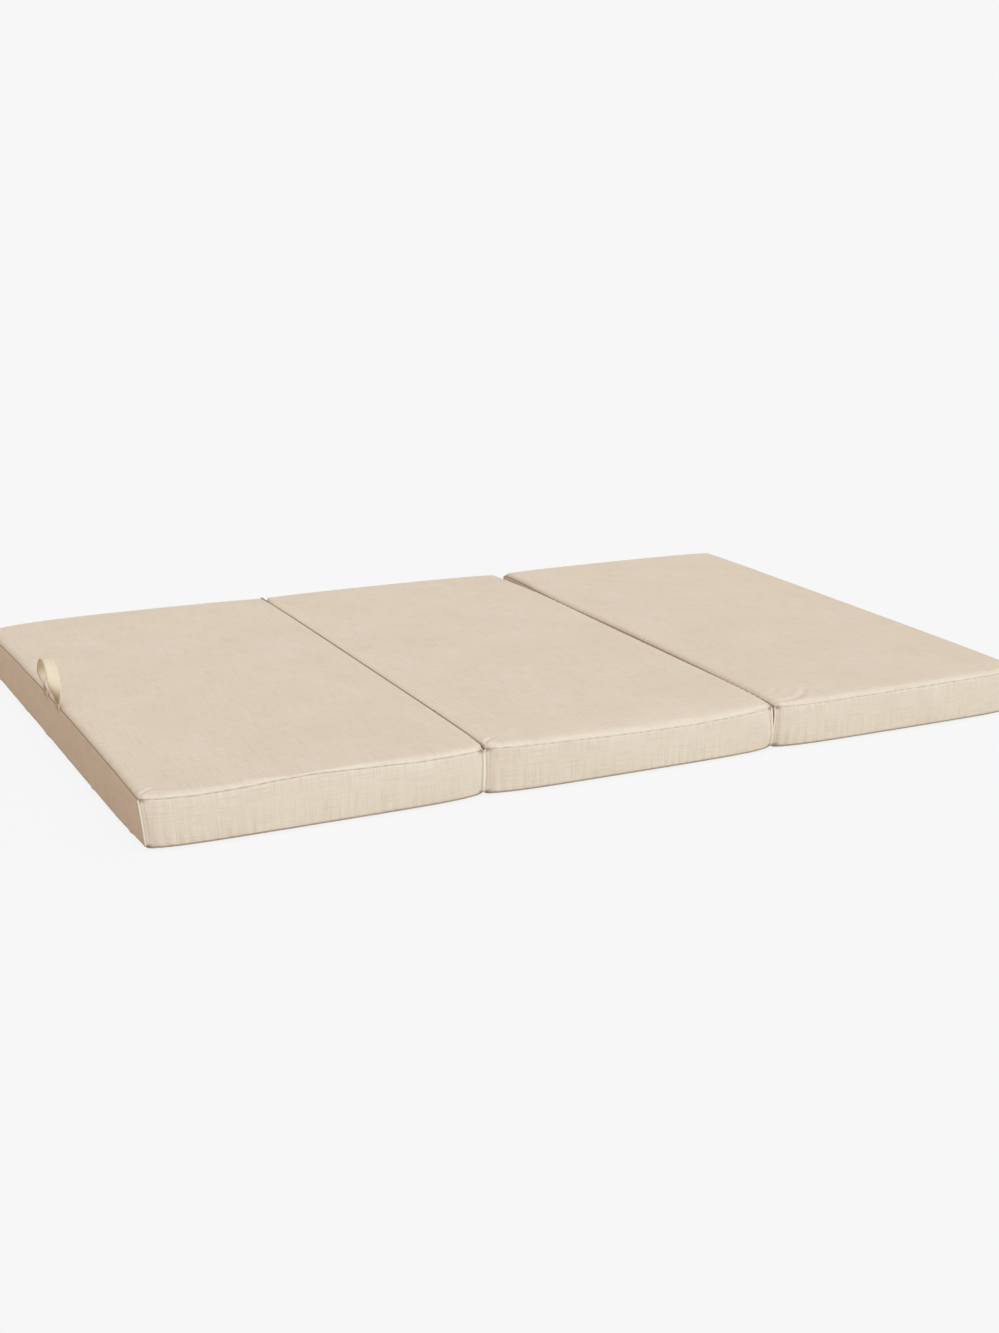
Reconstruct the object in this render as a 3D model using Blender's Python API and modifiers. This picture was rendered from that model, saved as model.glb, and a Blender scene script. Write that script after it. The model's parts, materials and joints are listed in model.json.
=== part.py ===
"""Three-panel folding futon mattress: foam slabs in zipped cotton covers, joined by two fabric hinges.

Metres, +Z up. The origin is on the floor under the middle panel's centre. +X runs along the mattress
away from the handle end, and +Y towards the long side with the zips. The left panel is the fixed body:
the middle panel folds up and over onto it, and the right panel folds under the middle one.
"""

import math

import bmesh
import bpy
from mathutils import Vector

# Driving dimensions
MATTRESS_LENGTH = 1.900
MATTRESS_WIDTH = 1.200
THICKNESS = 0.100
JOINT_GAP = 0.008
CLOTH = 0.0012
CLEARANCE = 0.0003
PANELS = ("left", "middle", "right")

PANEL_LENGTH = (MATTRESS_LENGTH - 2 * JOINT_GAP) / len(PANELS)
HALF_WIDTH = MATTRESS_WIDTH / 2
LEFT_END = -MATTRESS_LENGTH / 2
SEAM_STEP = CLOTH + CLEARANCE

# The hinge lines lie just outside the faces that meet when the mattress is folded
HINGE_STANDOFF = 0.001

# Foam core, cut a little smaller than its cover
FOAM_SLACK = 0.0012
FOAM_EDGE_RADIUS = 0.008

# Zip in the back band
ZIP_HEIGHT = 0.050
ZIP_SLOT = 0.0090
ZIP_END_MARGIN = 0.030
TAPE_HEIGHT = 0.026
TAPE_THICKNESS = 0.0006
COIL_HEIGHT = 0.0050
COIL_DEPTH = 0.0018

# Zip slider: a plate with a bridge, and a pull tab hung on the bridge by its eye
SLIDER_LENGTH = 0.0110
SLIDER_HEIGHT = 0.0080
SLIDER_DEPTH = 0.0030
SLIDER_EDGE_RADIUS = 0.0006
BRIDGE_WIDTH = 0.0026
BRIDGE_HEIGHT = 0.0064
BRIDGE_RISE = 0.0026
PASSAGE_HEIGHT = 0.0040
PASSAGE_RISE = 0.0016
PULL_LENGTH = 0.0240
PULL_WIDTH = 0.0070
PULL_THICKNESS = 0.0012
PULL_BAR = 0.0008
EYE_LENGTH = 0.0070

# Handle strap, sewn into the top seam of the left end
STRAP_WIDTH = 0.030
STRAP_THICKNESS = 0.0030
HANDLE_HEIGHT = 0.082
HANDLE_HALF_SPAN = 0.045
HANDLE_LEAN = 0.0160
HANDLE_AXIS_OUT = 0.0020
HANDLE_AXIS_UP = 0.0020
HANDLE_ROOT = 0.0030
HANDLE_STEPS = 28
HANDLE_FULLNESS = 0.7
TWIST_RATE = 1.6

COTTON = ("cotton_canvas", (0.69, 0.60, 0.49), 0.9, 0.0)
FOAM = ("foam", (0.86, 0.82, 0.70), 0.95, 0.0)
WEBBING = ("cotton_webbing", (0.74, 0.66, 0.54), 0.85, 0.0)
TAPE = ("zip_tape", (0.70, 0.62, 0.51), 0.8, 0.0)
NYLON = ("zip_nylon", (0.78, 0.71, 0.60), 0.45, 0.0)
ENAMEL = ("zip_enamel", (0.66, 0.60, 0.50), 0.35, 0.6)


def clear_scene():
    for obj in list(bpy.data.objects):
        bpy.data.objects.remove(obj)


def material(finish):
    """A Principled material from a (name, colour, roughness, metallic) finish."""
    name, colour, roughness, metallic = finish
    found = bpy.data.materials.get(name)
    if found:
        return found
    made = bpy.data.materials.new(name)
    made.use_nodes = True
    shader = made.node_tree.nodes["Principled BSDF"]
    shader.inputs["Base Color"].default_value = (*colour, 1.0)
    shader.inputs["Roughness"].default_value = roughness
    shader.inputs["Metallic"].default_value = metallic
    return made


def add_joint(name, location, collection):
    """An empty on a joint's axis; everything that the joint moves is parented to it."""
    joint = bpy.data.objects.new(name, None)
    joint.empty_display_size = 0.03
    joint.location = location
    collection.objects.link(joint)
    return joint


def hang(child, joint):
    """Parents child to a joint's empty and keeps it where it is."""
    child.parent = joint
    child.location -= joint.location


def add_part(name, mesh, finish, collection):
    obj = bpy.data.objects.new(name, mesh)
    obj.data.materials.append(material(finish))
    collection.objects.link(obj)
    return obj


def slab(name, low, high, finish, collection, edge_radius=0.0):
    """A box from its low corner to its high corner, with rounded edges where edge_radius is given."""
    low, high = Vector(low), Vector(high)
    shape = bmesh.new()
    bmesh.ops.create_cube(shape, size=1.0)
    bmesh.ops.scale(shape, vec=high - low, verts=shape.verts)
    mesh = bpy.data.meshes.new(name)
    shape.to_mesh(mesh)
    shape.free()
    obj = add_part(name, mesh, finish, collection)
    obj.location = (low + high) / 2
    if edge_radius:
        bevel = obj.modifiers.new("edge", "BEVEL")
        bevel.width = edge_radius
        bevel.segments = 3
    return obj


def combine(target, tool, operation):
    """Joins or cuts target with a cutter, which stays as a hidden helper."""
    boolean = target.modifiers.new(tool.name, "BOOLEAN")
    boolean.operation = operation
    boolean.object = tool
    tool.hide_render = True
    tool.display_type = "WIRE"


def panel_span(index):
    start = LEFT_END + index * (PANEL_LENGTH + JOINT_GAP)
    return start, start + PANEL_LENGTH


def foam_core(side, x0, x1, parts):
    inset = SEAM_STEP + FOAM_SLACK
    behind_zip = TAPE_THICKNESS + COIL_DEPTH
    low = (x0 + inset, -HALF_WIDTH + inset, inset)
    high = (x1 - inset, HALF_WIDTH - inset - behind_zip, THICKNESS - inset)
    return slab(f"foam_core_{side}", low, high, FOAM, parts, FOAM_EDGE_RADIUS)


def cover_sheets(side, x0, x1, parts):
    """The sleeping face and the underside, each a flat sheet out to the panel's edges."""
    top, bottom = THICKNESS - CLOTH, CLOTH
    return [
        slab(f"cover_top_{side}", (x0, -HALF_WIDTH, top), (x1, HALF_WIDTH, THICKNESS), COTTON, parts),
        slab(f"cover_bottom_{side}", (x0, -HALF_WIDTH, 0), (x1, HALF_WIDTH, bottom), COTTON, parts),
    ]


def side_bands(side, x0, x1, parts):
    """The boxing: a front band, two end bands, and a back band in two halves with the zip between."""
    low, high = SEAM_STEP, THICKNESS - SEAM_STEP
    slot_low, slot_high = ZIP_HEIGHT - ZIP_SLOT / 2, ZIP_HEIGHT + ZIP_SLOT / 2
    inner, back, front = HALF_WIDTH - SEAM_STEP, HALF_WIDTH - CLOTH, -HALF_WIDTH
    bands = {
        "band_front": ((x0, front, low), (x1, front + CLOTH, high)),
        "band_handle_end": ((x0, -inner, low), (x0 + CLOTH, inner, high)),
        "band_far_end": ((x1 - CLOTH, -inner, low), (x1, inner, high)),
        "band_back_lower": ((x0, back, low), (x1, HALF_WIDTH, slot_low)),
        "band_back_upper": ((x0, back, slot_high), (x1, HALF_WIDTH, high)),
    }
    return [slab(f"{name}_{side}", *corners, COTTON, parts) for name, corners in bands.items()]


def zip_run(side, x0, x1, parts):
    """The tape behind the slot and the coil on the tape. Returns both, and the Y of the coil's outer face."""
    start, end = x0 + ZIP_END_MARGIN, x1 - ZIP_END_MARGIN
    tape_out = HALF_WIDTH - SEAM_STEP
    coil_in = tape_out + CLEARANCE
    coil_out = coil_in + COIL_DEPTH
    tape = slab(f"zip_tape_{side}", (start, tape_out - TAPE_THICKNESS, ZIP_HEIGHT - TAPE_HEIGHT / 2),
                (end, tape_out, ZIP_HEIGHT + TAPE_HEIGHT / 2), TAPE, parts)
    coil = slab(f"zip_coil_{side}", (start, coil_in, ZIP_HEIGHT - COIL_HEIGHT / 2),
                (end, coil_out, ZIP_HEIGHT + COIL_HEIGHT / 2), NYLON, parts)
    return [tape, coil], coil_out


def zip_slider(side, x_mid, y_in, parts, cutters):
    """The slider's plate with its bridge, parked at the zip's far end, on an empty of its own."""
    y_out = y_in + SLIDER_DEPTH
    joint = add_joint(f"zip_travel_{side}", (x_mid, y_in, ZIP_HEIGHT), parts)

    def block(name, length, height, y_low, y_high, collection=cutters, edge_radius=0.0):
        low = (x_mid - length / 2, y_low, ZIP_HEIGHT - height / 2)
        high = (x_mid + length / 2, y_high, ZIP_HEIGHT + height / 2)
        return slab(f"{name}_{side}", low, high, ENAMEL, collection, edge_radius)

    plate = block("zip_slider", SLIDER_LENGTH, SLIDER_HEIGHT, y_in, y_out, parts, SLIDER_EDGE_RADIUS)
    bridge = block("bridge", BRIDGE_WIDTH, BRIDGE_HEIGHT, y_out - SLIDER_DEPTH / 3, y_out + BRIDGE_RISE)
    passage = block("passage", 2 * BRIDGE_WIDTH, PASSAGE_HEIGHT, y_out, y_out + PASSAGE_RISE)
    combine(plate, bridge, "UNION")
    combine(plate, passage, "DIFFERENCE")
    for piece in (plate, bridge, passage):
        hang(piece, joint)
    return joint, y_out


def zip_pull(side, x_mid, y_out, parts, cutters):
    """A flat tab whose top bar runs through the bridge's passage and turns there about X."""
    pivot_z = ZIP_HEIGHT + PASSAGE_HEIGHT / 2 - PULL_BAR
    joint = add_joint(f"zip_pull_swing_{side}", (x_mid, y_out + PASSAGE_RISE / 2, pivot_z), parts)
    top = pivot_z + PULL_BAR / 2
    near, far = joint.location.y - PULL_THICKNESS / 2, joint.location.y + PULL_THICKNESS / 2
    pull = slab(f"zip_pull_{side}", (x_mid - PULL_WIDTH / 2, near, top - PULL_LENGTH),
                (x_mid + PULL_WIDTH / 2, far, top), ENAMEL, parts)
    eye_half, eye_top = BRIDGE_WIDTH / 2 + CLEARANCE, top - PULL_BAR
    eye = slab(f"eye_{side}", (x_mid - eye_half, near - CLEARANCE, eye_top - EYE_LENGTH),
               (x_mid + eye_half, far + CLEARANCE, eye_top), ENAMEL, cutters)
    combine(pull, eye, "DIFFERENCE")
    for piece in (pull, eye):
        hang(piece, joint)
    return joint


def hinge_strip(name, joint_index, z_low, parts):
    """The cloth that bridges one joint between two panels, level with their faces."""
    start = panel_span(joint_index)[1] + CLEARANCE
    end = panel_span(joint_index + 1)[0] - CLEARANCE
    return slab(name, (start, -HALF_WIDTH, z_low), (end, HALF_WIDTH, z_low + CLOTH), COTTON, parts)


def handle_twist(turn):
    """The strap leaves the seam flat along it and twists until its width lies across the seam."""
    return min(1.0, math.sin(turn) * TWIST_RATE) * math.pi / 2


def handle_point(turn):
    """The strap's centre line at turn 0 to pi: up from the near seam end, over, and down to the far one.

    It leans out as it twists, so that no edge comes in over the sleeping face, where a panel folds.
    """
    x = -HANDLE_LEAN * math.sin(handle_twist(turn))
    y = -HANDLE_HALF_SPAN * math.cos(turn)
    z = HANDLE_ROOT + (HANDLE_HEIGHT - HANDLE_ROOT) * math.sin(turn) ** HANDLE_FULLNESS
    return Vector((x, y, z))


def handle_ribbon():
    """The strap's middle surface: a row of three points across it at each step along its loop."""
    shape = bmesh.new()
    rows = []
    for step in range(HANDLE_STEPS + 1):
        turn = math.pi * step / HANDLE_STEPS
        twist = handle_twist(turn)
        across = Vector((math.sin(twist), -math.copysign(math.cos(twist), math.pi / 2 - turn), 0))
        points = [handle_point(turn) + across * STRAP_WIDTH * share for share in (-0.5, 0, 0.5)]
        rows.append([shape.verts.new(point) for point in points])
    for row, following in zip(rows, rows[1:]):
        for column in range(2):
            shape.faces.new((row[column], row[column + 1], following[column + 1], following[column]))
    mesh = bpy.data.meshes.new("handle_strap")
    shape.to_mesh(mesh)
    shape.free()
    return mesh


def handle(parts):
    """A strap loop sewn into the top seam of the left end, with its origin on its hinge line."""
    strap = add_part("handle_strap", handle_ribbon(), WEBBING, parts)
    strap.location = (LEFT_END - HANDLE_AXIS_OUT, 0, THICKNESS + HANDLE_AXIS_UP)
    thick = strap.modifiers.new("strap", "SOLIDIFY")
    thick.thickness = STRAP_THICKNESS
    thick.offset = 0
    return strap


def panel(index, joint, parts, cutters):
    """One foam panel in its cover with its zip, on the empty of the fold that moves it."""
    side = PANELS[index]
    x0, x1 = panel_span(index)
    run, coil_out = zip_run(side, x0, x1, parts)
    x_mid = x1 - ZIP_END_MARGIN - SLIDER_LENGTH / 2
    slider_joint, slider_out = zip_slider(side, x_mid, coil_out + CLEARANCE, parts, cutters)
    hang(zip_pull(side, x_mid, slider_out, parts, cutters), slider_joint)
    pieces = [foam_core(side, x0, x1, parts), *cover_sheets(side, x0, x1, parts),
              *side_bands(side, x0, x1, parts), *run, slider_joint]
    for piece in pieces:
        if joint:
            hang(piece, joint)


def main():
    clear_scene()
    parts = bpy.data.collections.new("futon_mattress")
    cutters = bpy.data.collections.new("cutters")
    for collection in (parts, cutters):
        bpy.context.scene.collection.children.link(collection)
    half_gap = JOINT_GAP / 2
    fold_left = add_joint("fold_left", (panel_span(0)[1] + half_gap, 0, THICKNESS + HINGE_STANDOFF), parts)
    fold_right = add_joint("fold_right", (panel_span(1)[1] + half_gap, 0, -HINGE_STANDOFF), parts)
    for index, joint in enumerate((None, fold_left, fold_right)):
        panel(index, joint, parts, cutters)
    hinge_strip("hinge_strip_top", 0, THICKNESS - CLOTH, parts)
    hang(hinge_strip("hinge_strip_bottom", 1, 0.0, parts), fold_left)
    handle(parts)
    hang(fold_right, fold_left)


main()
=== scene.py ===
import json
import math
from types import SimpleNamespace

import bpy
import numpy as np
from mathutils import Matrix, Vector

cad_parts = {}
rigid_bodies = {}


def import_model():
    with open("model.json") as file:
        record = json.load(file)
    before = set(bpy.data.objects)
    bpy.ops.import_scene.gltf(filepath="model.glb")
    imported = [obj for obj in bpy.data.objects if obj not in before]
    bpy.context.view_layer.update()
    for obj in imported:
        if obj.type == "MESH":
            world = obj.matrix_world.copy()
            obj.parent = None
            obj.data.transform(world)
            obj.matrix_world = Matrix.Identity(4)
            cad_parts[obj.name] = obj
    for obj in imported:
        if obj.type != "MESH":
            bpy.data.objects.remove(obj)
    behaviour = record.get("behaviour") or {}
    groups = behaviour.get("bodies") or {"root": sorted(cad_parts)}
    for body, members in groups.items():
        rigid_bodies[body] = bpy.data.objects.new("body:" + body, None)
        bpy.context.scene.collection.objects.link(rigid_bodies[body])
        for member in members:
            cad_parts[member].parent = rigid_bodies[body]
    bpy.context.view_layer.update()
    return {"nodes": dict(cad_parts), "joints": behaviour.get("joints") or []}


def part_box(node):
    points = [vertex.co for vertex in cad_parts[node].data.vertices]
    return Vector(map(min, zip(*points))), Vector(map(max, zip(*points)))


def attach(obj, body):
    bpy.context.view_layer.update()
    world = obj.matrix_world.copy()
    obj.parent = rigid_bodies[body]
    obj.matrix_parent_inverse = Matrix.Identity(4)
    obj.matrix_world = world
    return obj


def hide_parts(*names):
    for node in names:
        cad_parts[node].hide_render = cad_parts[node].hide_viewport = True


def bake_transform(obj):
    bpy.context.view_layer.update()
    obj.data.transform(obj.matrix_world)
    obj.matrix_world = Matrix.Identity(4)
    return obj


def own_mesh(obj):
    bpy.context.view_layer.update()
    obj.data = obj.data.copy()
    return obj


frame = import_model()
scene = bpy.context.scene
scene.tool_settings.mesh_select_mode = (False, True, False)  # edges, for selectEdges
sides = ["left", "middle", "right"]
mm = 0.001
atSame = 1e-5              # two flat coordinates closer than this are the same


# small helpers

def linear(hexColour):
    # sRGB hex value to the linear colour that shaders take
    values = [int(hexColour[i:i + 2], 16) / 255 for i in (1, 3, 5)]
    return tuple(v / 12.92 if v <= 0.04045 else ((v + 0.055) / 1.055) ** 2.4 for v in values) + (1.0,)


def addNode(tree, kind, settings=None, links=None):
    # settings are the node's own properties or its inputs' values, and links feed its inputs
    node = tree.nodes.new(kind)
    for key, value in (settings or {}).items():
        if isinstance(key, str) and hasattr(node, key):
            setattr(node, key, value)
        else:
            node.inputs[key].default_value = value
    for key, socket in (links or {}).items():
        tree.links.new(socket, node.inputs[key])
    return node


def jointPlace(name):
    return Vector(next(joint["pos_m"] for joint in frame["joints"] if joint["name"] == name))


def deselectAll():
    for obj in bpy.context.view_layer.objects:
        obj.select_set(False)


def activate(obj):
    deselectAll()
    obj.select_set(True)
    bpy.context.view_layer.objects.active = obj


def applyModifiers(obj):
    activate(obj)
    for modifier in list(obj.modifiers):
        bpy.ops.object.modifier_apply(modifier=modifier.name)


def settle(obj):
    # puts the object's place into its mesh, as the CAD nodes have it
    activate(obj)
    bpy.ops.object.transform_apply(location=True, rotation=True, scale=True)


def addBox(name, low, high):
    deselectAll()
    low, high = Vector(low), Vector(high)
    bpy.ops.mesh.primitive_cube_add(size=1, location=(low + high) / 2, scale=high - low)
    obj = bpy.context.object
    obj.name = name
    obj.data.name = name
    settle(obj)
    return obj


def selectEdges(obj, test):
    # selects the edges that pass the test, in edit mode
    bpy.ops.object.mode_set(mode="EDIT")
    bpy.ops.mesh.select_all(action="DESELECT")
    bpy.ops.object.mode_set(mode="OBJECT")
    verts = obj.data.vertices
    for edge in obj.data.edges:
        edge.select = test(verts[edge.vertices[0]].co, verts[edge.vertices[1]].co)
    bpy.ops.object.mode_set(mode="EDIT")


def points(obj):
    co = np.empty(len(obj.data.vertices) * 3, np.float32)
    obj.data.vertices.foreach_get("co", co)
    return co.reshape(-1, 3).astype(float)


def movePoints(obj, co):
    obj.data.vertices.foreach_set("co", np.asarray(co, np.float32).ravel())
    obj.data.update()


def smoothStep(low, high, value):
    t = np.clip((value - low) / (high - low), 0, 1)
    return t * t * (3 - 2 * t)


def bump(value, width):
    # 1 at zero, fading over the width to both sides
    return np.exp(-(value / width) ** 2)


def storePoints(obj, name, values):
    # a number, or three, at each point, that later modifiers carry along
    kind = "FLOAT_VECTOR" if values.ndim == 2 else "FLOAT"
    attribute = obj.data.attributes.get(name) or obj.data.attributes.new(name, kind, "POINT")
    field = "vector" if values.ndim == 2 else "value"
    attribute.data.foreach_set(field, values.astype(np.float32).ravel())


def readPoints(obj, name):
    data = obj.data.attributes[name].data
    values = np.empty(len(data) * 3, np.float32)
    data.foreach_get("vector", values)
    return values.reshape(-1, 3).astype(float)


def weaveMap(obj, flat):
    # a UV map in metres, so that threads run along each flat piece of cloth
    mesh = obj.data
    layer = mesh.uv_layers.get("weave") or mesh.uv_layers.new(name="weave")
    loops = np.empty(len(mesh.loops), np.int32)
    mesh.loops.foreach_get("vertex_index", loops)
    starts = np.empty(len(mesh.polygons), np.int32)
    mesh.polygons.foreach_get("loop_start", starts)
    totals = np.empty(len(mesh.polygons), np.int32)
    mesh.polygons.foreach_get("loop_total", totals)
    corner = flat[loops]
    high = np.maximum.reduceat(corner, starts)
    low = np.minimum.reduceat(corner, starts)
    normalAxis = np.repeat((high - low).argmin(1), totals)
    u = np.where(normalAxis == 0, corner[:, 1], corner[:, 0])
    v = np.where(normalAxis == 2, corner[:, 1], corner[:, 2])
    layer.data.foreach_set("uv", np.stack([u, v], 1).astype(np.float32).ravel())


# materials

canvas = {
    "colour": "#EADECF",       # unbleached cotton, warm beige
    "gap": "#B3A18A",          # shade between the yarns
    "slub": "#D0C0AB",         # thicker, darker yarns
    "seam": "#6B523D",         # shade down in a seam
    "fold": "#FBF1E0",         # painted highlight along the ridge at each corner fold
    "yarnPitch": 1.8 * mm,     # a 10 oz canvas has about 0.8 mm, drawn coarser so that it shows
    "slubWidth": 1.6 * mm,
    "slubLength": 60 * mm,
    "yarnSway": 2.5 * mm,      # how far the yarns wander from straight lines
    "relief": 0.30 * mm,
}
# the strap is a closer cloth of the same cotton
strapCanvas = {**canvas, "colour": "#EDDFC9", "gap": "#BCA689", "slub": "#D9C7AD", "yarnPitch": 1.1 * mm}


def wovenCloth(name, cloth):
    # plain-woven cotton: matt, faintly napped, with yarns going over and under
    material = bpy.data.materials.new(name)
    material.use_nodes = True
    tree = material.node_tree
    shader = tree.nodes["Principled BSDF"]
    shader.inputs["Roughness"].default_value = 0.92
    shader.inputs["Specular IOR Level"].default_value = 0.22
    shader.inputs["Sheen Weight"].default_value = 0.06
    shader.inputs["Sheen Roughness"].default_value = 0.55
    uv = addNode(tree, "ShaderNodeUVMap", {"uv_map": "weave"})
    sway = addNode(tree, "ShaderNodeTexNoise", {"Scale": 45.0, "Detail": 2.0}, {"Vector": uv.outputs["UV"]})
    swayed = addNode(tree, "ShaderNodeVectorMath", {"operation": "MULTIPLY_ADD", 1: (cloth["yarnSway"],) * 3},
                     {0: sway.outputs["Color"], 2: uv.outputs["UV"]})
    cells = addNode(tree, "ShaderNodeVectorMath", {"operation": "SCALE", "Scale": 1 / cloth["yarnPitch"]},
                    {0: swayed.outputs["Vector"]})
    split = addNode(tree, "ShaderNodeSeparateXYZ", {}, {0: cells.outputs["Vector"]})
    yarns = []
    for axis in ("X", "Y"):
        angle = addNode(tree, "ShaderNodeMath", {"operation": "MULTIPLY", 1: math.pi},
                        {0: split.outputs[axis]})
        wave = addNode(tree, "ShaderNodeMath", {"operation": "SINE"}, {0: angle.outputs[0]})
        yarns.append(addNode(tree, "ShaderNodeMath", {"operation": "ABSOLUTE"}, {0: wave.outputs[0]}))
    over = addNode(tree, "ShaderNodeTexChecker", {"Scale": 1.0}, {"Vector": cells.outputs["Vector"]})
    yarn = addNode(tree, "ShaderNodeMix", {"data_type": "FLOAT"},
                   {0: over.outputs["Fac"], 2: yarns[0].outputs[0], 3: yarns[1].outputs[0]})
    slubs = []
    for stretch in ((1 / cloth["slubWidth"], 1 / cloth["slubLength"], 1),
                    (1 / cloth["slubLength"], 1 / cloth["slubWidth"], 1)):
        turned = addNode(tree, "ShaderNodeMapping", {"Scale": stretch}, {"Vector": uv.outputs["UV"]})
        slubs.append(addNode(tree, "ShaderNodeTexNoise", {"Scale": 1.0, "Detail": 1.0},
                             {"Vector": turned.outputs["Vector"]}))
    slub = addNode(tree, "ShaderNodeMath", {"operation": "MAXIMUM"},
                   {0: slubs[0].outputs["Fac"], 1: slubs[1].outputs["Fac"]})
    slubShare = addNode(tree, "ShaderNodeMapRange", {"From Min": 0.46, "From Max": 0.82, "To Max": 0.8},
                        {"Value": slub.outputs[0]})
    lift = addNode(tree, "ShaderNodeMapRange", {"From Max": 0.6, "To Min": 0.55}, {"Value": yarn.outputs[0]})
    plain = addNode(tree, "ShaderNodeMix", {"data_type": "RGBA", 6: linear(cloth["gap"]),
                                            7: linear(cloth["colour"])}, {0: lift.outputs["Result"]})
    streaked = addNode(tree, "ShaderNodeMix", {"data_type": "RGBA", 7: linear(cloth["slub"])},
                       {0: slubShare.outputs["Result"], 6: plain.outputs[2]})
    mottle = addNode(tree, "ShaderNodeTexNoise", {"Scale": 6.0, "Detail": 3.0}, {"Vector": uv.outputs["UV"]})
    mottleShare = addNode(tree, "ShaderNodeMapRange", {"From Min": 0.35, "From Max": 0.75, "To Max": 0.22},
                          {"Value": mottle.outputs["Fac"]})
    mottled = addNode(tree, "ShaderNodeMix", {"data_type": "RGBA", 7: linear(cloth["slub"])},
                      {0: mottleShare.outputs["Result"], 6: streaked.outputs[2]})
    seam = addNode(tree, "ShaderNodeAttribute", {"attribute_name": "seamShade"})
    shaded = addNode(tree, "ShaderNodeMix", {"data_type": "RGBA", 7: linear(cloth["seam"])},
                     {0: seam.outputs["Fac"], 6: mottled.outputs[2]})
    # painted highlight along the ridge at each corner, mixed over the cloth colour
    fold = addNode(tree, "ShaderNodeAttribute", {"attribute_name": "paintedRidgeHighlight"})
    paintedHighlight = addNode(tree, "ShaderNodeMix", {"data_type": "RGBA", 7: linear(cloth["fold"])},
                   {0: fold.outputs["Fac"], 6: shaded.outputs[2]})
    tree.links.new(paintedHighlight.outputs[2], shader.inputs["Base Color"])
    relief = addNode(tree, "ShaderNodeMath", {"operation": "MULTIPLY_ADD", 1: 0.6},
                     {0: slub.outputs[0], 2: yarn.outputs[0]})
    bumpNode = addNode(tree, "ShaderNodeBump", {"Strength": 0.55, "Distance": cloth["relief"]},
                       {"Height": relief.outputs[0]})
    tree.links.new(bumpNode.outputs["Normal"], shader.inputs["Normal"])
    return material


finish = {"grainDepth": 0.03 * mm, "variation": 0.12}


def plainFinish(name, hexColour, roughness, metallic=0.0, grain=900.0):
    # a moulded or enamelled finish with a fine grain and a little colour variation
    material = bpy.data.materials.new(name)
    material.use_nodes = True
    tree = material.node_tree
    shader = tree.nodes["Principled BSDF"]
    shader.inputs["Roughness"].default_value = roughness
    shader.inputs["Metallic"].default_value = metallic
    place = addNode(tree, "ShaderNodeTexCoord")
    noise = addNode(tree, "ShaderNodeTexNoise", {"Scale": grain, "Detail": 3.0},
                    {"Vector": place.outputs["Object"]})
    base = linear(hexColour)
    darker = tuple(c * (1 - finish["variation"]) for c in base[:3]) + (1.0,)
    mix = addNode(tree, "ShaderNodeMix", {"data_type": "RGBA", 6: darker, 7: base}, {0: noise.outputs["Fac"]})
    tree.links.new(mix.outputs[2], shader.inputs["Base Color"])
    bumpNode = addNode(tree, "ShaderNodeBump", {"Strength": 0.4, "Distance": finish["grainDepth"]},
                       {"Height": noise.outputs["Fac"]})
    tree.links.new(bumpNode.outputs["Normal"], shader.inputs["Normal"])
    return material


def dress(obj, material):
    obj.data.materials.clear()
    obj.data.materials.append(material)


cottonCanvas = wovenCloth("plainWovenCottonCanvas", canvas)
cottonStrap = wovenCloth("foldedCanvasStrap", strapCanvas)
zipTape = plainFinish("wovenPolyesterTape", "#CBBBA4", 0.85, grain=1800.0)
coilNylon = plainFinish("nylonZipCoil", "#DCCFBB", 0.42)
zincEnamel = plainFinish("enamelledZinc", "#B8A88F", 0.32, metallic=0.35)
cottonThread = plainFinish("spunCottonThread", "#EADFCD", 0.85, grain=2500.0)
print("materials made")


# camera and light

cameraView = {
    "place": (-1.6873, -3.3156, 1.1390),
    "azimuth": -27.199,        # degrees, as are the next two
    "elevation": 16.345,
    "roll": 0.922,
    "lens": 47.94,             # focal length and sensor in mm
    "sensor": 36.0,
}


def addCamera():
    a, e = math.radians(cameraView["azimuth"]), math.radians(cameraView["elevation"])
    data = bpy.data.cameras.new("studioCamera")
    camera = bpy.data.objects.new("studioCamera", data)
    scene.collection.objects.link(camera)
    data.sensor_width = cameraView["sensor"]
    data.lens = cameraView["lens"]
    data.clip_end = 50.0
    back = Vector((math.sin(a) * math.cos(e), -math.cos(a) * math.cos(e), math.sin(e)))
    camera.matrix_world = back.to_track_quat("Z", "Y").to_matrix().to_4x4()
    camera.rotation_euler.rotate_axis("Z", math.radians(cameraView["roll"]))
    camera.location = cameraView["place"]
    scene.camera = camera


light = {
    "background": "#F7F7F7",
    "fill": (0.660, 0.558, 0.478),
    "key": 2.26,
    "keyColour": (0.72, 0.91, 1.0),
    "keyFrom": (0.29, -0.745, 0.60),
    "keyAngle": 35,            # degrees across, for soft shadows
    "floorShade": 0.16,        # how much of the fill's soft shade the pale floor shows
    "floorWidth": 60,
    "floorZ": -0.6 * mm,
}


def addSun(name, towards, strength, colour, angle):
    data = bpy.data.lights.new(name, "SUN")
    data.energy = strength
    data.color = colour
    data.angle = math.radians(angle)
    sun = bpy.data.objects.new(name, data)
    scene.collection.objects.link(sun)
    sun.rotation_euler = Vector(towards).to_track_quat("Z", "Y").to_euler()
    return sun


def addWorld():
    # a soft fill all round, with the pale backdrop behind
    world = bpy.data.worlds.new("studio")
    scene.world = world
    world.use_nodes = True
    tree = world.node_tree
    tree.nodes.clear()
    out = addNode(tree, "ShaderNodeOutputWorld")
    fill = addNode(tree, "ShaderNodeBackground", {"Color": light["fill"] + (1.0,), "Strength": 1.0})
    wall = addNode(tree, "ShaderNodeBackground", {"Color": linear(light["background"]), "Strength": 1.0})
    path = addNode(tree, "ShaderNodeLightPath")
    mix = addNode(tree, "ShaderNodeMixShader", {}, {0: path.outputs["Is Camera Ray"],
                                                    1: fill.outputs[0], 2: wall.outputs[0]})
    tree.links.new(mix.outputs[0], out.inputs["Surface"])


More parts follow.
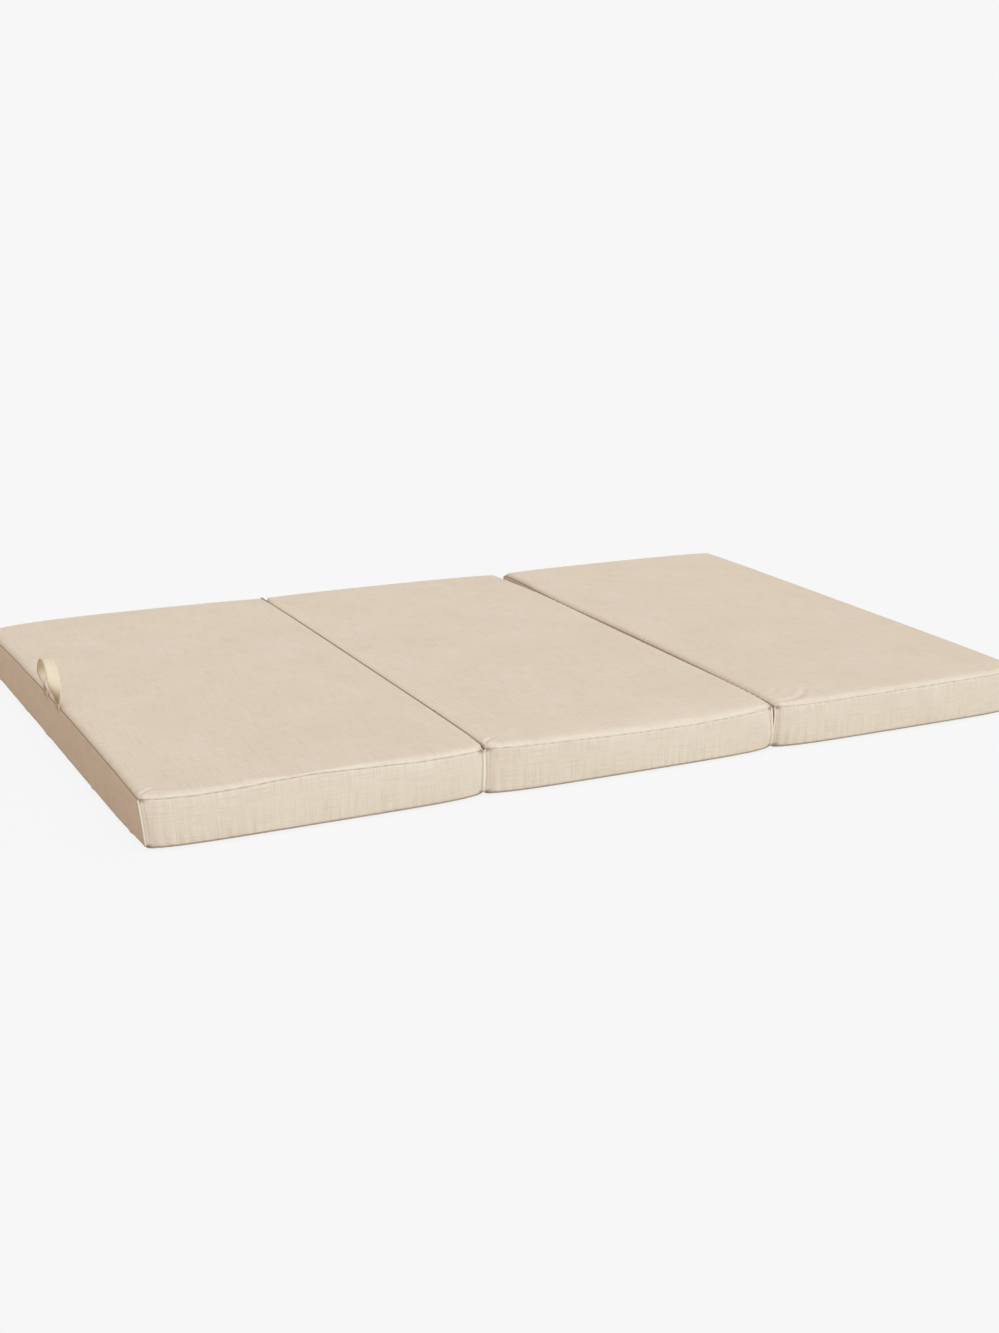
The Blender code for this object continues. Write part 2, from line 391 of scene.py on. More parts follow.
def addFloor(sun):
    # pale paper, evenly lit, with only a trace of shade where the mattress lies. A panel folded below
    # its level still shows through it
    deselectAll()
    bpy.ops.mesh.primitive_plane_add(size=light["floorWidth"], location=(0, 0, light["floorZ"]))
    floor = bpy.context.object
    floor.name = "studioFloor"
    settle(floor)
    material = bpy.data.materials.new("palePaper")
    material.use_nodes = True
    tree = material.node_tree
    tree.nodes.clear()
    out = addNode(tree, "ShaderNodeOutputMaterial")
    paper = linear(light["background"])
    share = light["floorShade"]
    glow = tuple(p * (1 - f) for p, f in zip(paper, light["fill"])) + (1.0,)
    even = addNode(tree, "ShaderNodeEmission", {"Color": glow, "Strength": 1.0})
    soft = addNode(tree, "ShaderNodeBsdfDiffuse", {"Color": paper})
    sheet = addNode(tree, "ShaderNodeAddShader", {}, {0: even.outputs[0], 1: soft.outputs[0]})
    clear = addNode(tree, "ShaderNodeBsdfTransparent")
    seen = addNode(tree, "ShaderNodeMixShader", {0: share}, {1: clear.outputs[0], 2: sheet.outputs[0]})
    path = addNode(tree, "ShaderNodeLightPath")
    mix = addNode(tree, "ShaderNodeMixShader", {}, {0: path.outputs["Is Camera Ray"],
                                                    1: soft.outputs[0], 2: seen.outputs[0]})
    tree.links.new(mix.outputs[0], out.inputs["Surface"])
    dress(floor, material)
    # the key lights the mattress and not the paper, and the paper doesn't shade it
    for role in ("receiver_collection", "blocker_collection"):
        group = bpy.data.collections.new(f"key_{role}")
        group.objects.link(floor)
        setattr(sun.light_linking, role, group)
        group.collection_objects[0].light_linking.link_state = "EXCLUDE"


addCamera()
windowKey = addSun("windowKey", light["keyFrom"], light["key"], light["keyColour"], light["keyAngle"])
addWorld()
addFloor(windowKey)
scene.view_settings.view_transform = "Standard"
scene.view_settings.look = "None"
print("camera and light placed")


# padded covers: a boxed canvas cover over each foam slab

cover = {
    "seamTop": 93 * mm,           # height of the upper seam all round
    "seamBottom": 6 * mm,
    "seamInset": 1 * mm,
    "plateau": 100.4 * mm,        # the sleeping face over the foam
    "rollWidth": 15 * mm,         # how far in the face takes to level out
    "faceTop": 100.6 * mm,        # no fold of the sleeping face stands above this
    "bandBulge": 2.2 * mm,
    "cellsX": 44,
    "cellsY": 84,
    "edgeCell": 0.34,             # the outermost cells, as a share of a full one
    "cellGrowth": 1.32,
    "levels": (6, 10.5, 17, 27, 37, 44.6, 46.4, 50, 53.6, 55.4, 63, 73, 82, 88.5, 93),  # heights in mm
    "pressure": 4.0,
    "steps": 20,
    "seamCrease": 0.85,
    "subdivisions": 2,
}
# seams: how deep they draw in, how the cloth gathers along them, and the ridge at each corner
sewing = {
    "depth": 0.8 * mm,
    "width": 1.7 * mm,
    "puckerDepth": 0.95 * mm,
    "puckerPitch": 19 * mm,
    "reachTop": 11 * mm,
    "reachBottom": 26 * mm,
    "ridge": 2.0 * mm,
    "ridgeWidth": 1.5 * mm,
    "hollow": 1.5 * mm,           # beside the ridge
    "hollowFrom": 5.5 * mm,
    "hollowWidth": 3 * mm,
}
# the lie of a panel: each reach is how far in from its edge or corner an effect fades
lie = {
    "sagReach": 90 * mm,
    "tuck": 4 * mm,               # how far each corner of the front and back draws in
    "tuckReach": 16 * mm,
    "bow": 15 * mm,               # how far the front stands out between its drawn-in corners
    "bowCorner": 48 * mm,
    "bowReach": 150 * mm,
    "riseReach": 28 * mm,
    "endReach": 260 * mm,
    "endSink": 4 * mm,            # how far the seam of the handle end sinks, towards the back
    "endSinkReach": 50 * mm,
    "sewnRise": 5.5 * mm,         # lifts the seams of the sewn joint level with the sleeping face
    "sewnReach": 7 * mm,
}
# how far each panel's upper corners sink, in mm: handle end front and back, then far end front and back
cornerSag = {"left": (2, 11, 4, 4), "middle": (3, 4, 4, 5), "right": (4, 4, 4, 4)}
# rise and fall of the front seam along each panel: shares of its length, and mm
seamRise = {
    "left": ((0, 0.14, 0.25, 0.36, 0.48, 0.62, 0.8, 1.0), (1.0, -2.5, -1.5, 2.8, 5.0, 1.5, -2.5, -1.0)),
    "middle": ((0, 0.1, 0.3, 0.5, 0.7, 0.9, 1.0), (0.0, -2.5, -7.0, -11.0, -11.5, -6.0, -3.0)),
    "right": ((0, 0.12, 0.35, 0.6, 0.85, 1.0), (-3.0, -4.5, -5.0, -4.0, -2.0, 0.0)),
}
# how far the handle end stands out along Y, in mm, at its upper seam and at its lower one
endOut = {"along": (-0.60, -0.45, -0.10, 0.10, 0.35, 0.60), "upper": (10, 9, 8, 8, 11, 16),
          "lower": (0, 6, 9, 10, 13, 14)}
zipSlot = {
    "height": 50 * mm,            # of its middle line
    "half": 5.3 * mm,
    "edge": 0.8 * mm,
    "floorY": 597.3 * mm,
    "endMargin": 23 * mm,
    "endSlope": 6 * mm,
    "lip": 0.5 * mm,              # folded edge above the slot and below it
    "lipFrom": 1.6 * mm,
    "lipWidth": 1.5 * mm,
}


def gradedStops(low, high, cells):
    # cell edges from low to high, small near both ends
    edge, growth = cover["edgeCell"], cover["cellGrowth"]
    steps = [min(1.0, edge * growth ** min(i, cells - 1 - i)) for i in range(cells)]
    stops = np.concatenate([[0], np.cumsum(steps)])
    return low + (high - low) * stops / stops[-1]


def coverBlank(side):
    # the flat-sided start of a cover, with a vertical seam at each corner
    low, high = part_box(f"cover_bottom_{side}")[0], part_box(f"cover_top_{side}")[1]
    inset = cover["seamInset"]
    first = (low[0] + inset, low[1] + inset, cover["seamBottom"])
    last = (high[0] - inset, high[1] - inset, cover["seamTop"])
    obj = addBox(f"cover{side.capitalize()}", first, last)
    stops = [gradedStops(first[0], last[0], cover["cellsX"]),
             gradedStops(first[1], last[1], cover["cellsY"]),
             np.array(cover["levels"]) * mm]
    for axis in range(3):
        selectEdges(obj, lambda a, b: abs(a[axis] - b[axis]) > atSame)
        bpy.ops.mesh.subdivide(number_cuts=len(stops[axis]) - 2)
        bpy.ops.object.mode_set(mode="OBJECT")
    co = points(obj)
    for axis in range(3):
        even = np.linspace(first[axis], last[axis], len(stops[axis]))
        co[:, axis] = np.interp(co[:, axis], even, stops[axis])
    movePoints(obj, co)
    return obj, np.array(first), np.array(last)


def onSeams(co, first, last):
    # points on the twelve edges of the blank, where its flat pieces are sewn together
    return (np.isclose(co, first, atol=atSame) | np.isclose(co, last, atol=atSame)).sum(1) >= 2


def inflate(obj, sewn):
    # air pressure fills the cover between its seams
    group = obj.vertex_groups.new(name="seams")
    group.add([int(i) for i in np.flatnonzero(sewn)], 1.0, "ADD")
    cloth = obj.modifiers.new("cloth", "CLOTH")
    settings = cloth.settings
    settings.quality = 5
    settings.mass = 0.3
    settings.tension_stiffness = 15
    settings.compression_stiffness = 15
    settings.bending_stiffness = 0.5
    settings.use_pressure = True
    settings.uniform_pressure_force = cover["pressure"]
    settings.effector_weights.gravity = 0
    settings.vertex_group_mass = "seams"
    settings.shrink_min = -0.004
    cloth.collision_settings.use_collision = False
    for step in range(1, cover["steps"] + 1):
        scene.frame_set(step)
    applyModifiers(obj)
    scene.frame_set(1)
    obj.vertex_groups.clear()


def wander(s, seed, *waves):
    # a smooth uneven line from a few sines; each wave is (length, height)
    total = np.zeros_like(s)
    for i, (length, height) in enumerate(waves):
        total += height * np.sin(2 * math.pi * s / length + seed * (1.7 + i) + 2.1 * i)
    return total


def foamShape(blank, swollen, first, last):
    # the foam slab holds the swollen cloth to its own flat, round-edged form
    co = swollen.copy()
    rise = cover["plateau"] - cover["seamTop"]
    toEdge = np.minimum(blank[:, :2] - first[:2], last[:2] - blank[:, :2]).min(1)
    roll = np.sqrt(1 - (1 - np.clip(toEdge / cover["rollWidth"], 0, 1)) ** 2)
    top = np.isclose(blank[:, 2], last[2], atol=atSame)
    bottom = np.isclose(blank[:, 2], first[2], atol=atSame)
    swell = np.clip((swollen[:, 2] - last[2])[top], 0, rise)
    co[top, 2] = last[2] + np.maximum(rise * roll[top], swell)
    co[bottom, 2] = cover["seamBottom"] * (1 - roll[bottom])
    side = ~(top | bottom)
    for axis in range(2):
        other = 1 - axis
        for limit, sign in ((first[axis], -1), (last[axis], 1)):
            face = side & np.isclose(blank[:, axis], limit, atol=atSame)
            height = (blank[face, 2] - first[2]) / (last[2] - first[2])
            bulge = cover["bandBulge"] * np.clip(4 * height * (1 - height), 0, 1) ** 0.45
            co[face, axis] = limit + sign * np.clip(sign * (swollen[face, axis] - limit), 0.6 * bulge, bulge)
            co[face, other] = blank[face, other]
    co[top | bottom, :2] = blank[top | bottom, :2]
    return co


# creases on the sleeping faces, listed one by one: from and to in metres, then bow, width and depth in mm
creases = {
    "left": [
        ((-0.946, -0.594), (-0.915, -0.566), 4, 4, 1.6),
        ((-0.470, 0.548), (-0.405, 0.500), 6, 7, 0.9),
        ((-0.430, 0.580), (-0.392, 0.520), -5, 6, 0.8),
        ((-0.560, 0.585), (-0.520, 0.535), 5, 7, 0.6),
        ((-0.335, -0.10), (-0.372, -0.07), 3, 6, 0.6),
        ((-0.335, 0.21), (-0.365, 0.25), -3, 6, 0.6),
        ((-0.930, -0.20), (-0.890, -0.235), 4, 7, 0.6),
    ],
    "middle": [
        ((-0.312, -0.594), (-0.282, -0.560), 4, 4, 1.8),
        ((-0.300, -0.02), (-0.268, 0.02), -3, 6, 0.6),
        ((-0.306, 0.30), (-0.275, 0.27), 3, 6, 0.7),
        ((0.300, -0.590), (0.255, -0.548), -6, 5, 1.3),
        ((0.270, 0.33), (0.302, 0.27), 4, 6, 0.8),
    ],
    "right": [
        ((0.338, -0.585), (0.425, -0.540), -14, 7, 1.5),
        ((0.335, -0.545), (0.375, -0.515), -8, 6, 0.9),
        ((0.332, 0.05), (0.365, 0.10), 4, 7, 0.7),
        ((0.930, -0.580), (0.880, -0.545), 6, 6, 1.0),
    ],
}
# half the width of the open joint between the middle and right panels, in mm, at its top, along Y
openJoint = {
    "along": (-0.6, -0.585, -0.56, -0.5, -0.4, -0.25, -0.05, 0.1, 0.25, 0.33, 0.42, 0.48, 0.6),
    "half": (3.6, 2.2, 1.2, 0.8, 1.5, 3.2, 4.6, 3.6, 1.6, 2.4, 6.0, 10.5, 13.5),
    "reach": 45 * mm,         # how far into each panel the lean fades
    "from": 25 * mm,          # the height where the joint starts to open
    "to": 85 * mm,
}
closedHalf = 0.6 * mm         # half the gap of the sewn joint
closedJoint = {"reach": 30 * mm, "notch": 16 * mm, "notchBack": 22 * mm, "notchReach": 12 * mm}


def creaseField(x, y, side):
    total = np.zeros_like(x)
    for (ax, ay), (bx, by), bow, width, depth in creases[side]:
        dx, dy = bx - ax, by - ay
        length = math.hypot(dx, dy)
        t = ((x - ax) * dx + (y - ay) * dy) / length ** 2
        across = ((x - ax) * -dy + (y - ay) * dx) / length - bow * mm * 4 * t * (1 - t)
        fade = smoothStep(-0.15, 0.2, t) * (1 - smoothStep(0.75, 1.2, t))
        ridge = bump(across - 1.6 * width * mm, width * mm) + bump(across + 1.6 * width * mm, width * mm)
        total += fade * depth * mm * (0.45 * ridge - bump(across, width * mm))
    return total


def jointShift(blank, first, last, side):
    # how far the faces at the joints lean towards their neighbours
    y, z = blank[:, 1], blank[:, 2]
    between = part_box("cover_top_middle")[0][0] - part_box("cover_top_left")[1][0]
    gap = between / 2 + cover["seamInset"]
    upper = smoothStep(openJoint["from"], openJoint["to"], z)
    openHalf = np.interp(y, openJoint["along"], openJoint["half"]) * mm
    opening = openHalf * upper + closedHalf * (1 - upper) - gap
    closing = gap - closedHalf
    toLeft, toRight = blank[:, 0] - first[0], last[0] - blank[:, 0]
    if side == "left":
        return closing * np.exp(-toRight / closedJoint["reach"])
    if side == "right":
        return opening * np.exp(-toLeft / openJoint["reach"])
    # the back corner of the middle panel draws away from the sewn joint
    notch = np.exp(-(last[1] - y) / closedJoint["notchBack"]) * np.exp(-toLeft / closedJoint["notchReach"])
    shift = closedJoint["notch"] * notch * upper - closing * np.exp(-toLeft / closedJoint["reach"])
    return shift - opening * np.exp(-toRight / openJoint["reach"])


def placesOn(blank, first, last):
    # where each point lies on its cover: its flat piece, the way out of it, and how far its seams are
    dx, dy = np.clip(np.minimum(blank[:, :2] - first[:2], last[:2] - blank[:, :2]), 0, None).T
    top = blank[:, 2] > last[2] - atSame
    bottom = blank[:, 2] < first[2] + atSame
    band = ~(top | bottom)
    flat = np.minimum(dx, dy)
    endFace = dx < dy          # nearest side is an end band, so the seam runs along Y
    wayX, wayY = np.where(blank[:, :2] < ((first + last) / 2)[:2], -1.0, 1.0).T
    return SimpleNamespace(
        top=top, bottom=bottom, band=band, flat=flat, endFace=endFace, wayX=wayX, wayY=wayY,
        along=np.where(endFace, blank[:, 1], blank[:, 0]),
        outX=np.where(endFace, wayX, 0.0),
        outY=np.where(endFace, 0.0, wayY),
        toTop=np.where(top, flat, np.where(bottom, 1.0, last[2] - blank[:, 2])),
        toBottom=np.where(bottom, flat, np.where(top, 1.0, blank[:, 2] - first[2])),
        toCorner=np.where(band, np.maximum(dx, dy), 1.0),
    )


def gatherSeams(co, blank, at, side, seed):
    # seams pull in, the cloth gathers along them, and a ridge stands where the bands meet at a corner
    along = at.along
    pull = sewing["depth"] * (bump(at.toTop, sewing["width"]) + 0.8 * bump(at.toBottom, sewing["width"]))
    faceSeed = seed + 1.3 * at.outX + 2.9 * at.outY
    phase = 2 * math.pi * along / sewing["puckerPitch"] + wander(along, seed, (0.31, 2.4), (0.13, 1.1))
    unevenness = np.sin(along * 17 + faceSeed) + 0.6 * np.sin(along * 41 + 2 * faceSeed)
    patches = 0.35 + 0.65 * smoothStep(-0.5, 0.9, unevenness)
    gather = sewing["puckerDepth"] * patches * np.sin(phase + faceSeed)
    reachTop = np.exp(-at.toTop / sewing["reachTop"]) * (1 - bump(at.toTop, 1.5 * mm))
    reachBottom = np.exp(-at.toBottom / sewing["reachBottom"]) * (1 - bump(at.toBottom, 1.5 * mm))
    co[:, 2] += np.where(at.top, (0.8 * gather - 0.3 * mm) * reachTop, 0)
    swell = wander(along, 2 * seed, (0.41, 0.5 * mm), (0.17, 0.35 * mm))
    swell *= smoothStep(0, 20 * mm, at.toTop) * smoothStep(0, 20 * mm, at.toBottom)
    outward = gather * (0.7 * reachTop + 1.15 * reachBottom) + swell
    if side == "left":
        # the open handle end is slacker, with short folds that lean
        leaning = along + 0.35 * blank[:, 2]
        slack = wander(leaning, 3 * seed, (0.083, 0.8 * mm), (0.047, 0.55 * mm), (0.19, 1.1 * mm))
        slack *= patches * smoothStep(0, 14 * mm, at.toTop) * (0.6 + 0.4 * reachBottom)
        outward += np.where(at.outX < 0, slack, 0)
    ridge = sewing["ridge"] * bump(at.toCorner, sewing["ridgeWidth"])
    ridge -= sewing["hollow"] * bump(at.toCorner - sewing["hollowFrom"], sewing["hollowWidth"])
    for axis, out, way in ((0, at.outX, at.wayX), (1, at.outY, at.wayY)):
        co[:, axis] += np.where(at.band, out * outward + way * 0.7 * ridge, 0) - out * pull


def shadeSeams(obj, blank, at, first, last, side):
    # painted seam shade: stronger along the end bands than along the front and back, where it breaks up
    broken = 0.55 + 0.45 * np.sin(at.along * 2 * math.pi / (23 * mm) + np.sin(at.along * 61) * 2.2)
    share = np.where(at.endFace, 0.75, (0.30 if side == "left" else 0.20) + 0.25 * broken)
    shade = share * bump(at.toTop, 1.0 * mm) + 0.55 * bump(at.toBottom, 1.0 * mm)
    # painted shadow beside the ridge at each corner
    shade += 0.35 * bump(at.toCorner - 2.6 * mm, 1.2 * mm)
    # painted shade in small tucks at the front corners, above and below
    toEnd = np.minimum(blank[:, 0] - first[0], last[0] - blank[:, 0])
    tuck = bump(toEnd - 5 * mm, 6 * mm) * bump(blank[:, 1] - first[1], 5 * mm)
    for fromSeam in (last[2] - blank[:, 2], blank[:, 2] - first[2]):
        shade += 0.55 * tuck * bump(fromSeam - 2 * mm, 3.5 * mm)
    storePoints(obj, "seamShade", np.clip(shade, 0, 0.8))
    # painted highlight along the ridge at each corner, fading where the painted seam shade is strong
    paintedHighlight = 0.85 * bump(at.toCorner, sewing["ridgeWidth"])
    storePoints(obj, "paintedRidgeHighlight", paintedHighlight * smoothStep(0.2, 0.6, 1 - 0.5 * np.abs(shade)))


def fineShape(obj, first, last, side, seed):
    # seams, puckers, creases and the lie of the whole panel, on the finished mesh
    co, blank = points(obj), readPoints(obj, "blank")
    at = placesOn(blank, first, last)
    gatherSeams(co, blank, at, side, seed)
    # soft unevenness and creases of the sleeping face
    soft = wander(blank[:, 0] + 0.6 * blank[:, 1], seed, (0.37, 0.22 * mm), (0.21, 0.12 * mm))
    soft += wander(blank[:, 1] - 0.5 * blank[:, 0], seed + 1, (0.45, 0.22 * mm), (0.19, 0.10 * mm))
    soft = (soft - 0.45 * mm) * smoothStep(0, 40 * mm, at.flat)
    folds = creaseField(blank[:, 0], blank[:, 1], side) * smoothStep(1 * mm, 8 * mm, at.flat)
    co[:, 2] += np.where(at.top, soft + folds, 0)
    lieOfPanel(co, blank, first, last, side)
    co[:, 0] += jointShift(blank, first, last, side)
    shapeZipSlot(co, blank, first, last)
    co[:, 2] = np.clip(co[:, 2], 0, cover["faceTop"])
    movePoints(obj, co)
    shadeSeams(obj, blank, at, first, last, side)


def lieOfPanel(co, blank, first, last, side):
    # how the whole panel lies: bowed front, sunk and drawn-in corners, an uneven front seam
    x, y, z = blank.T
    fromLow, fromHigh = x - first[0], last[0] - x
    front, back = y - first[1], last[1] - y
    height = np.clip((z - first[2]) / (last[2] - first[2]), 0, 1)
    inward = np.where(y < 0, 1.0, -1.0) * (1 - 0.6 * np.sin(math.pi * height))
    corners = ((fromLow, front), (fromLow, back), (fromHigh, front), (fromHigh, back))
    for sag, (toEnd, toSide) in zip(cornerSag[side], corners):
        away = toEnd + toSide
        co[:, 2] -= sag * mm * height * np.exp(-away / lie["sagReach"])
        co[:, 1] += inward * lie["tuck"] * np.exp(-away / lie["tuckReach"])
    arch = (1 - np.exp(-fromLow / lie["bowCorner"])) * (1 - np.exp(-fromHigh / lie["bowCorner"]))
    co[:, 1] -= lie["bow"] * arch * np.exp(-front / lie["bowReach"])
    rise = np.interp(fromLow / (last[0] - first[0]), *seamRise[side]) * mm
    co[:, 2] += height ** 3 * np.exp(-front / lie["riseReach"]) * rise
    if side == "left":
        upper = np.interp(y, endOut["along"], endOut["upper"]) * mm
        lower = np.interp(y, endOut["along"], endOut["lower"]) * mm
        fading = 1 - smoothStep(0, lie["endReach"], fromLow)
        co[:, 0] -= (upper * height + lower * (1 - height)) * fading
        sink = lie["endSink"] * height * np.exp(-fromLow / lie["endSinkReach"])
        co[:, 2] -= sink * smoothStep(-0.3, 0.5, y)
    sewn = {"left": fromHigh, "middle": fromLow}.get(side)
    if sewn is not None:
        lift = lie["sewnRise"] * np.exp(-sewn / lie["sewnReach"])
        co[:, 2] += lift * height ** 4 * smoothStep(0, 14 * mm, front)
    co[:, 2] = np.minimum(co[:, 2], cover["plateau"] - 0.2 * mm * (1 - height))


def shapeZipSlot(co, blank, first, last):
    # the back band parts along the zip, with a folded lip above and below it
    back = blank[:, 1] > last[1] - atSame
    x, offset = co[:, 0], np.abs(blank[:, 2] - zipSlot["height"])
    half, edge = zipSlot["half"], zipSlot["edge"]
    ends = smoothStep(0, zipSlot["endSlope"], x - first[0] - zipSlot["endMargin"])
    ends *= smoothStep(0, zipSlot["endSlope"], last[0] - zipSlot["endMargin"] - x)
    inside = (1 - smoothStep(half - edge, half + edge, offset)) * ends
    co[:, 1] = np.where(back, co[:, 1] * (1 - inside) + zipSlot["floorY"] * inside, co[:, 1])
    lip = bump(offset - half - zipSlot["lipFrom"], zipSlot["lipWidth"]) * ends
    co[:, 1] += np.where(back, zipSlot["lip"] * lip, 0)


def creaseSeams(obj, sewn):
    # keeps the seams crisp under subdivision
    crease = obj.data.attributes.new("crease_edge", "FLOAT", "EDGE")
    values = np.zeros(len(obj.data.edges), np.float32)
    for i, edge in enumerate(obj.data.edges):
        a, b = edge.vertices
        if sewn[a] and sewn[b]:
            values[i] = cover["seamCrease"]
    crease.data.foreach_set("value", values)


def addCover(index):
    side = sides[index]
    obj, first, last = coverBlank(side)
    blank = points(obj)
    sewn = onSeams(blank, first, last)
    creaseSeams(obj, sewn)
    storePoints(obj, "blank", blank)
    inflate(obj, sewn)
    movePoints(obj, foamShape(blank, points(obj), first, last))
    subdivision = obj.modifiers.new("subdivision", "SUBSURF")
    subdivision.levels = cover["subdivisions"]
    subdivision.render_levels = cover["subdivisions"]
    applyModifiers(obj)
    fineShape(obj, first, last, side, 1.9 * index + 0.7)
    weaveMap(obj, readPoints(obj, "blank"))
    activate(obj)
    bpy.ops.object.shade_smooth()
    dress(obj, cottonCanvas)
    names = ["foam_core", "cover_top", "cover_bottom", "band_front", "band_handle_end", "band_far_end",
             "band_back_lower", "band_back_upper"]
    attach(obj, f"{side}_panel")
    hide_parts(*[f"{name}_{side}" for name in names])
    print("cover made:", side, len(obj.data.vertices), "points")


for number in range(3):
    addCover(number)


# fabric hinges: a fold of canvas sewn into the seams of both panels

hinge = {
    "overlap": 1.0 * mm,
    "depth": 4.2 * mm,
    "endMargin": 3 * mm,
    "cellsAcross": 12,
    "cellsAlong": 160,
    "thickness": 0.9 * mm,
    "shade": 0.25,
    "upperZ": 97.0 * mm,
    "lowerZ": 7.2 * mm,
}


def addHinge(name, centreX, seamZ, downwards, node):
    # a strip across the joint, folded down into it or up into it
    deselectAll()
    reach = closedHalf + hinge["overlap"]
    low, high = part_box(node)
    bpy.ops.mesh.primitive_grid_add(x_subdivisions=hinge["cellsAcross"], y_subdivisions=hinge["cellsAlong"],
                                    size=1, location=(centreX, 0, seamZ))
    obj = bpy.context.object
    obj.name = name
    obj.scale = (2 * reach, high[1] - low[1] - 2 * hinge["endMargin"], 1)
    settle(obj)
    co = points(obj)
    flat = co.copy()
    across = (co[:, 0] - centreX) / reach
    uneven = 1 + 0.12 * np.sin(co[:, 1] * 90) + 0.08 * np.sin(co[:, 1] * 233)
    fold = hinge["depth"] * (1 - across ** 2) * uneven
    co[:, 2] += -fold if downwards else fold
    movePoints(obj, co)
    weaveMap(obj, flat)
    thick = obj.modifiers.new("thickness", "SOLIDIFY")
    thick.thickness = hinge["thickness"]
    thick.offset = 0
    applyModifiers(obj)
    bpy.ops.object.shade_smooth()
    storePoints(obj, "seamShade", np.full(len(obj.data.vertices), hinge["shade"]))
    dress(obj, cottonCanvas)
    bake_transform(obj)
    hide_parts(node)


addHinge("hingeFoldTop", jointPlace("fold_left").x, hinge["upperZ"], True,
         "hinge_strip_top")
addHinge("hingeFoldBottom", jointPlace("fold_right").x, hinge["lowerZ"], False,
         "hinge_strip_bottom")
print("hinges made")


# handle: a folded canvas strap, sewn into the top seam of the left end

handle = {
    "width": 25 * mm,
    "thickness": 2.6 * mm,
    "height": 75 * mm,
    "halfSpan": 49 * mm,
    "lean": 3 * mm,
    "outwards": 7 * mm,           # the seam stands out from the foam here
    "root": 1.5 * mm,             # where the loop starts, above the joint's axis
    "fullness": 0.7,              # under 1 for a loop with steep sides
    "twistRate": 2.4,             # how soon the strap turns flat-on above its feet
    "steps": 72,
    "columns": 12,
    "clothLength": 200 * mm,
    "stitchFromMiddle": 11.5 * mm,
    "stitchWidth": 0.9 * mm,
    "footShade": 8 * mm,
    "rounding": 0.8 * mm,
    "endThickness": 2.8 * mm,     # the sewn ends
    "endLow": 88 * mm,
    "endHigh": 104.5 * mm,
    "endRounding": 1.0 * mm,
}
strapFoot = jointPlace("handle_swing") - Vector((handle["outwards"], 0, 0))


def strapPoint(turn):
    # centre of the strap from the near seam end at 0, over the top, to the far one at pi
    twist = min(1.0, math.sin(turn) * handle["twistRate"]) * math.pi / 2
    x = -handle["lean"] * math.sin(twist)
    y = -handle["halfSpan"] * math.cos(turn)
    z = handle["root"] + (handle["height"] - handle["root"]) * math.sin(turn) ** handle["fullness"]
    side = math.copysign(math.cos(twist), math.pi / 2 - turn)
    return Vector((x, y, z)), Vector((math.sin(twist), -side, 0))


def roundEdges(obj, width, segments):
    rounded = obj.modifiers.new("rounded", "BEVEL")
    rounded.width = width
    rounded.segments = segments
    applyModifiers(obj)
    bpy.ops.object.shade_smooth_by_angle(angle=math.radians(50))


def addHandle():
    deselectAll()
    axis = strapFoot
    bpy.ops.mesh.primitive_grid_add(x_subdivisions=handle["columns"], y_subdivisions=handle["steps"],
                                    size=1, location=(0, 0, 0))
    obj = bpy.context.object
    obj.name = "handleStrap"
    flat = points(obj)
    co = flat.copy()
    for i, (across, along, _) in enumerate(flat):
        turn = math.pi * min(max(along + 0.5, 0.0), 1.0)
        centre, direction = strapPoint(turn)
        co[i] = axis + centre + direction * handle["width"] * across
    movePoints(obj, co)
    # a line of stitching along both edges, and shade at the feet
    cloth = flat * np.array([handle["width"], handle["clothLength"], 0])
    toFoot = handle["clothLength"] / 2 - np.abs(cloth[:, 1])
    shade = 0.35 * bump(np.abs(cloth[:, 0]) - handle["stitchFromMiddle"], handle["stitchWidth"])
    shade += 0.5 * bump(toFoot, handle["footShade"])
    storePoints(obj, "seamShade", shade)
    weaveMap(obj, cloth)
    thick = obj.modifiers.new("thickness", "SOLIDIFY")
    thick.thickness = handle["thickness"]
    thick.offset = 0
    roundEdges(obj, handle["rounding"], 2)
    dress(obj, cottonStrap)
    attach(obj, "handle")
    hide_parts("handle_strap")
    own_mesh(obj)


def addHandleEnd(name, y):
    # the strap's sewn end, standing out of the seam
    x, halfX, halfY = strapFoot.x, handle["endThickness"] / 2, handle["width"] / 2
    obj = addBox(name, (x - halfX, y - halfY, handle["endLow"]), (x + halfX, y + halfY, handle["endHigh"]))
    storePoints(obj, "seamShade", np.full(len(obj.data.vertices), 0.3))
    weaveMap(obj, points(obj))
    roundEdges(obj, handle["endRounding"], 3)
    dress(obj, cottonStrap)
    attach(obj, "left_panel")


addHandle()
addHandleEnd("handleEndNear", -handle["halfSpan"])
addHandleEnd("handleEndFar", handle["halfSpan"])
print("handle made")


# zips: interlocking coil in the slot of each back band, with its slider, pull and stitching

zipRun = {
    "pitch": 2.0 * mm,
    "tooth": 1.05 * mm,           # along the zip
    "toothAcross": 4.4 * mm,
    "lean": 0.8 * mm,             # how far each tooth sits off the middle line
    "stitchPitch": 4.0 * mm,
    "stitch": (3.0 * mm, 0.9 * mm, 0.7 * mm),
    "stitchFromEnd": 2 * mm,
    "stitchY": 601.6 * mm,
    "stitchFromSlot": 5.5 * mm,
}


